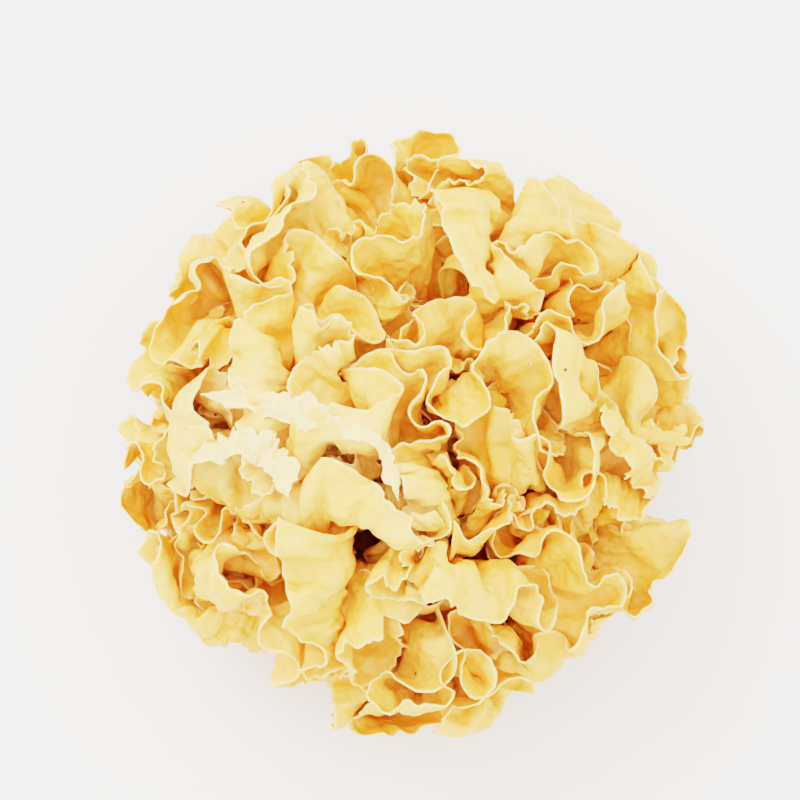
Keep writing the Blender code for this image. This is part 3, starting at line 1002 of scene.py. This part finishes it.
def make_membrane(rng, name, path, drape):
    """A torn strip with frayed sides that lies over the fronds along a path."""
    s = np.linspace(0, 1, MEMBRANE_PARTS[0] + 1)[:, None]
    v = np.linspace(-1, 1, MEMBRANE_PARTS[1] + 1)[None]
    spots, total = path_at(path, s[:, 0])
    ahead = slopes(spots[:2], -1)
    ahead = ahead / np.hypot(*ahead)
    tables = [value_noise(rng, 64) for _ in range(3)]
    along = s * total
    side = np.sign(v)
    teeth = np.clip(np.abs(read_noise(tables[0], along / 1.5 + 0 * v, 7.5 * side + 0 * s + 9.5)) - 0.2, 0, 1)
    bays = read_noise(tables[1], along / 3.5 + 0 * v, 5.5 * side + 0 * s + 8.5)
    half = spots[2][:, None] * (0.85 + 0.45 * bays) * (1 - 0.6 * teeth)
    ends = np.clip(np.minimum(s, 1 - s) * 9, 0.1, 1)
    across = half * v * ends
    wander = 0.9 * read_noise(tables[2], along / 6.0, 0 * s + 3.5)
    x = spots[0][:, None] - ahead[1][:, None] * (across + wander)
    y = spots[1][:, None] + ahead[0][:, None] * (across + wander)
    crumple = read_noise(tables[1], along / 2.2, across / 1.8 + 21.0)
    fine = read_noise(tables[0], along / 0.9, across / 1.4 + 31.0)
    curl = np.abs(v) ** 3 * read_noise(tables[2], along / 2.5, side + 5.5)
    lift = 0.3 + 0.9 * crumple + 0.3 * fine + 1.6 * curl
    top = np.stack([x, y, drape.at(x, y) + lift])
    normal = normals(top[:, None])[:, 0]
    shape = top.shape[1:]
    half_thick = MEMBRANE_THICKNESS * (1 - 0.5 * np.abs(v) ** 6) / 2
    numbers = np.arange(shape[0] * shape[1]).reshape(shape)
    faces = grid_faces(numbers)
    rim = np.concatenate([numbers[0], numbers[1:, -1], numbers[-1, ::-1][1:], numbers[::-1, 0][1:]])
    n = numbers.size
    walls = np.stack([rim[:-1], rim[1:], rim[1:] + n, rim[:-1] + n], 1)
    sides = top + normal * half_thick, top - normal * half_thick
    points = np.concatenate([side.reshape(3, -1) for side in sides], 1).T
    mesh = mesh_from(name, points, [faces, faces[:, ::-1] + n, walls])
    edge = np.tile((np.abs(half) * (1 - np.abs(v))).ravel(), 2)
    set_values(mesh, "edge", edge)
    finish_values(mesh, points, np.full(len(points), MEMBRANE_PALENESS))
    return mesh


# The base


def make_base_lump(rng):
    """The knotted lump at the foot of the fronds, with its flat cut below."""
    angles = np.linspace(0, math.pi / 2, 22)[1:]
    profile = [(BASE_RADIUS * math.sin(a), BASE_SHOULDER + BASE_RADIUS * math.cos(a)) for a in angles]
    profile += [(BASE_RADIUS, z) for z in np.linspace(BASE_SHOULDER, BASE_CHAMFER, 13)[1:]]
    profile += [(BASE_RADIUS - BASE_CHAMFER * t, BASE_CHAMFER * (1 - t)) for t in (0.35, 0.7, 1.0)]
    profile += [(r, 0.0) for r in np.linspace(BASE_RADIUS - BASE_CHAMFER, 0, 15)[1:-1]]
    angle = np.linspace(0, 2 * math.pi, BASE_TURNS, endpoint=False)[None]
    r, z = np.array(profile).T[:, :, None]
    tables = [value_noise(rng, 48) for _ in range(3)]
    around = angle / (2 * math.pi) * 48
    knots = np.abs(read_noise(tables[0], around, r * 0 + z / 2.6 + r / 5.0))
    wrinkles = read_noise(tables[1], around * 2, z / 1.1 + r / 3.0)
    depth = (KNOT_DEPTH * knots + WRINKLE_DEPTH * (1 + wrinkles)) * np.clip(z / 2.0, 0, 1)
    out = np.clip(1 - depth / BASE_RADIUS, 0.8, 1)
    pores = PORE_DEPTH * np.clip(read_noise(tables[2], around * 2, r / 1.3) - 0.1, 0, 1)
    pores = pores * (z == 0) * (r < PORE_REACH)
    x, y = r * np.cos(angle) * out, r * np.sin(angle) * out
    z = BASE_SHOULDER + (z - BASE_SHOULDER) * np.where(z > BASE_SHOULDER, out, 1) + pores
    ring = np.stack([x, y, z + 0 * x])
    n = ring[0].size
    poles = np.array([[0, 0, BASE_SHOULDER + BASE_RADIUS * out[0].mean()], [0, 0, 0]])
    points = np.concatenate([ring.reshape(3, -1).T, poles])
    numbers = np.arange(n).reshape(-1, BASE_TURNS)
    numbers = np.concatenate([numbers, numbers[:, :1]], 1)
    sides = grid_faces(numbers)
    first, last = numbers[0], numbers[-1]
    cap = np.stack([0 * first[1:] + n, first[:-1], first[1:]], 1)
    foot = np.stack([0 * last[1:] + n + 1, last[1:], last[:-1]], 1)
    return mesh_from("base_lump", points, [sides, cap, foot])


# Materials


def new_material(name):
    made = bpy.data.materials.new(name)
    made.use_nodes = True
    return made, made.node_tree.nodes, made.node_tree.links, made.node_tree.nodes["Principled BSDF"]


def ramp_node(nodes, stops):
    ramp = nodes.new("ShaderNodeValToRGB")
    elements = ramp.color_ramp.elements
    elements[0].position, elements[0].color = stops[0][0], (*stops[0][1], 1)
    elements[1].position, elements[1].color = stops[-1][0], (*stops[-1][1], 1)
    for place, colour in stops[1:-1]:
        elements.new(place).color = (*colour, 1)
    return ramp


def attribute_node(nodes, name):
    node = nodes.new("ShaderNodeAttribute")
    node.attribute_name = name
    return node.outputs["Fac"]


def noise_node(nodes, links, place, scale, detail):
    node = nodes.new("ShaderNodeTexNoise")
    node.inputs["Scale"].default_value = scale
    node.inputs["Detail"].default_value = detail
    links.new(place, node.inputs["Vector"])
    return node.outputs["Fac"]


def mixed(nodes, links, factor, a, b, mode="MIX"):
    """A colour mix; each of its inputs is a socket or a plain value."""
    node = nodes.new("ShaderNodeMix")
    node.data_type = "RGBA"
    node.blend_type = mode
    for socket, value in ((node.inputs[0], factor), (node.inputs[6], a), (node.inputs[7], b)):
        if isinstance(value, bpy.types.NodeSocket):
            links.new(value, socket)
        else:
            socket.default_value = value
    return node.outputs[2]


def ranged(nodes, links, value, low, high, to_low=0.0, to_high=1.0):
    node = nodes.new("ShaderNodeMapRange")
    for name, number in (("From Min", low), ("From Max", high), ("To Min", to_low), ("To Max", to_high)):
        node.inputs[name].default_value = number
    links.new(value, node.inputs["Value"])
    return node.outputs["Result"]


def ridges(nodes, links, place):
    """Thin irregular creases."""
    node = nodes.new("ShaderNodeTexNoise")
    node.noise_type = "RIDGED_MULTIFRACTAL"
    node.inputs["Scale"].default_value = 150
    node.inputs["Detail"].default_value = 2
    node.inputs["Distortion"].default_value = 0.4
    links.new(place, node.inputs["Vector"])
    return node.outputs["Fac"]


def spots(nodes, links, place):
    """Distances to points scattered in space, of which few lie near a sheet."""
    node = nodes.new("ShaderNodeTexVoronoi")
    node.inputs["Scale"].default_value = 110
    links.new(place, node.inputs["Vector"])
    return node.outputs["Distance"]


def bump_node(nodes, links, height, depth, under):
    node = nodes.new("ShaderNodeBump")
    node.inputs["Distance"].default_value = depth
    links.new(height, node.inputs["Height"])
    if under:
        links.new(under, node.inputs["Normal"])
    return node.outputs["Normal"]


def frond_material():
    made, nodes, links, shader = new_material("dried frond")
    place = nodes.new("ShaderNodeTexCoord").outputs["Object"]
    out = attribute_node(nodes, "out")
    edge = attribute_node(nodes, "edge")
    # Partly painted shade: the colour turns darker and more saturated orange deeper inside the head, on top
    # of the fronds' own deeper tone towards the base.
    ramp = ramp_node(nodes, FROND_COLOURS_AND_DEPTH_SHADE)
    links.new(out, ramp.inputs["Fac"])
    mottle = ranged(nodes, links, noise_node(nodes, links, place, 120, 3), 0.35, 0.7)
    colour = mixed(nodes, links, mottle, ramp.outputs["Color"], MOTTLE_COLOUR)
    tint = ranged(nodes, links, noise_node(nodes, links, place, 75, 3), 0.42, 0.66, 0.0, 0.6)
    colour = mixed(nodes, links, tint, colour, TINT_COLOUR)
    creases = ridges(nodes, links, place)
    crease = ranged(nodes, links, creases, 0.55, 1.3, 0.0, 0.6)
    colour = mixed(nodes, links, crease, colour, CREASE_COLOUR)
    margin = ranged(nodes, links, edge, 0.1, 0.75, 0.65, 0.0)
    colour = mixed(nodes, links, margin, colour, MARGIN_COLOUR)
    colour = mixed(nodes, links, attribute_node(nodes, "pale"), colour, PALE_COLOUR)
    speck = ranged(nodes, links, spots(nodes, links, place), 0.035, 0.045, 1.0, 0.0)
    colour = mixed(nodes, links, speck, colour, SPECK_COLOUR)
    links.new(colour, shader.inputs["Base Color"])
    gloss = ranged(nodes, links, noise_node(nodes, links, place, 200, 2), 0.3, 0.7, 0.38, 0.55)
    links.new(gloss, shader.inputs["Roughness"])
    shader.inputs["Specular IOR Level"].default_value = 0.4
    shader.inputs["Subsurface Weight"].default_value = 0.3
    shader.inputs["Subsurface Radius"].default_value = (1.0, 0.7, 0.4)
    shader.inputs["Subsurface Scale"].default_value = 0.001
    folds = bump_node(nodes, links, noise_node(nodes, links, place, 170, 2), 0.003, None)
    relief = bump_node(nodes, links, creases, 0.0008, folds)
    links.new(relief, shader.inputs["Normal"])
    return made


def base_material():
    made, nodes, links, shader = new_material("dried base")
    place = nodes.new("ShaderNodeTexCoord").outputs["Object"]
    ramp = ramp_node(nodes, BASE_COLOURS)
    links.new(noise_node(nodes, links, place, 300, 4), ramp.inputs["Fac"])
    links.new(ramp.outputs["Color"], shader.inputs["Base Color"])
    shader.inputs["Roughness"].default_value = 0.6
    shader.inputs["Subsurface Weight"].default_value = 0.3
    shader.inputs["Subsurface Radius"].default_value = (1.0, 0.3, 0.1)
    shader.inputs["Subsurface Scale"].default_value = 0.002
    return made


# Stage

PHOTO_ELEVATION = math.radians(71)
LENS = 120
CAMERA_DISTANCE = 0.554
AIM_UP = 0.0058
AIM_RIGHT = -0.0023


def aim(ob, target):
    ob.rotation_mode = "QUATERNION"
    ob.rotation_quaternion = (Vector(target) - ob.location).to_track_quat("-Z", "Y")


def make_camera(centre):
    back = Vector((0, -math.cos(PHOTO_ELEVATION), math.sin(PHOTO_ELEVATION)))
    up = Vector((0, math.sin(PHOTO_ELEVATION), math.cos(PHOTO_ELEVATION)))
    data = bpy.data.cameras.new("camera")
    data.lens = LENS
    data.sensor_width = 36
    ob = bpy.data.objects.new("camera", data)
    bpy.context.scene.collection.objects.link(ob)
    target = centre + up * AIM_UP + Vector((AIM_RIGHT, 0, 0))
    ob.location = target + back * CAMERA_DISTANCE
    aim(ob, target)
    bpy.context.scene.camera = ob


def make_light(name, place, size, power, colour, target):
    data = bpy.data.lights.new(name, "AREA")
    data.energy = power
    data.size = size
    data.color = colour
    ob = bpy.data.objects.new(name, data)
    ob.location = place
    bpy.context.scene.collection.objects.link(ob)
    aim(ob, target)


def make_stage(centre):
    scene = bpy.context.scene
    scene.view_settings.view_transform = "Filmic"
    scene.view_settings.look = "Medium High Contrast"
    scene.view_settings.exposure = 1.65
    scene.cycles.diffuse_bounces = 6
    world = bpy.data.worlds.new("studio")
    scene.world = world
    world.use_nodes = True
    background = world.node_tree.nodes["Background"]
    background.inputs["Color"].default_value = (1, 1, 1, 1)
    background.inputs["Strength"].default_value = 1.0
    make_light("key", (-0.35, 0.25, 0.6), 0.5, 1.5, KEY_COLOUR, centre)
    make_light("fill", (0.4, -0.3, 0.5), 0.6, 0.3, FILL_COLOUR, centre)
    mesh = bpy.data.meshes.new("floor")
    corners = [(x * FLOOR_SIDE, y * FLOOR_SIDE, 0) for x, y in ((-1, -1), (1, -1), (1, 1), (-1, 1))]
    mesh.from_pydata(corners, [], [(0, 1, 2, 3)])
    floor = bpy.data.objects.new("floor", mesh)
    scene.collection.objects.link(floor)
    made, _, _, shader = new_material("floor")
    shader.inputs["Base Color"].default_value = FLOOR_COLOUR
    shader.inputs["Roughness"].default_value = 0.6
    mesh.materials.append(made)


def add_piece(name, mesh, finish, node=None):
    mesh.materials.append(finish)
    ob = bpy.data.objects.new(name, mesh)
    bpy.context.scene.collection.objects.link(ob)
    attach(ob, "root")
    if node:
        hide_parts(node)


def main():
    sheets = grow_main_folds(np.random.default_rng(SEED))
    rng = np.random.default_rng(FINE_SEED)
    fronds, branches, feet = grow_fine_folds(rng, sheets)
    finish = frond_material()
    everything = []
    for i in range(FROND_COUNT):
        node = f"frond_{i + 1:02d}"
        shown = [Sheet(rng, fronds[:, i], FROND_ZONES, FOOT_THICKNESS, 0)]
        for k in np.flatnonzero(feet.parent == i):
            shown.append(Sheet(rng, branches[:, k], BRANCH_ZONES, BRANCH_FOOT_THICKNESS, feet.height[k]))
        everything += [s.points for s in shown]
        name = node + "_sheet"
        add_piece(name, join_sheets(name, shown), finish, node)
    drape = Drape(np.concatenate(everything).T)
    for i, path in enumerate(MEMBRANE_PATHS):
        name = f"membrane_{i + 1}"
        add_piece(name, make_membrane(rng, name, path, drape), finish)
    add_piece("base_lump", make_base_lump(rng), base_material(), "base")
    lo, hi = cad_box
    centre = (lo + hi) / 2
    make_camera(centre)
    make_stage(centre)


main()
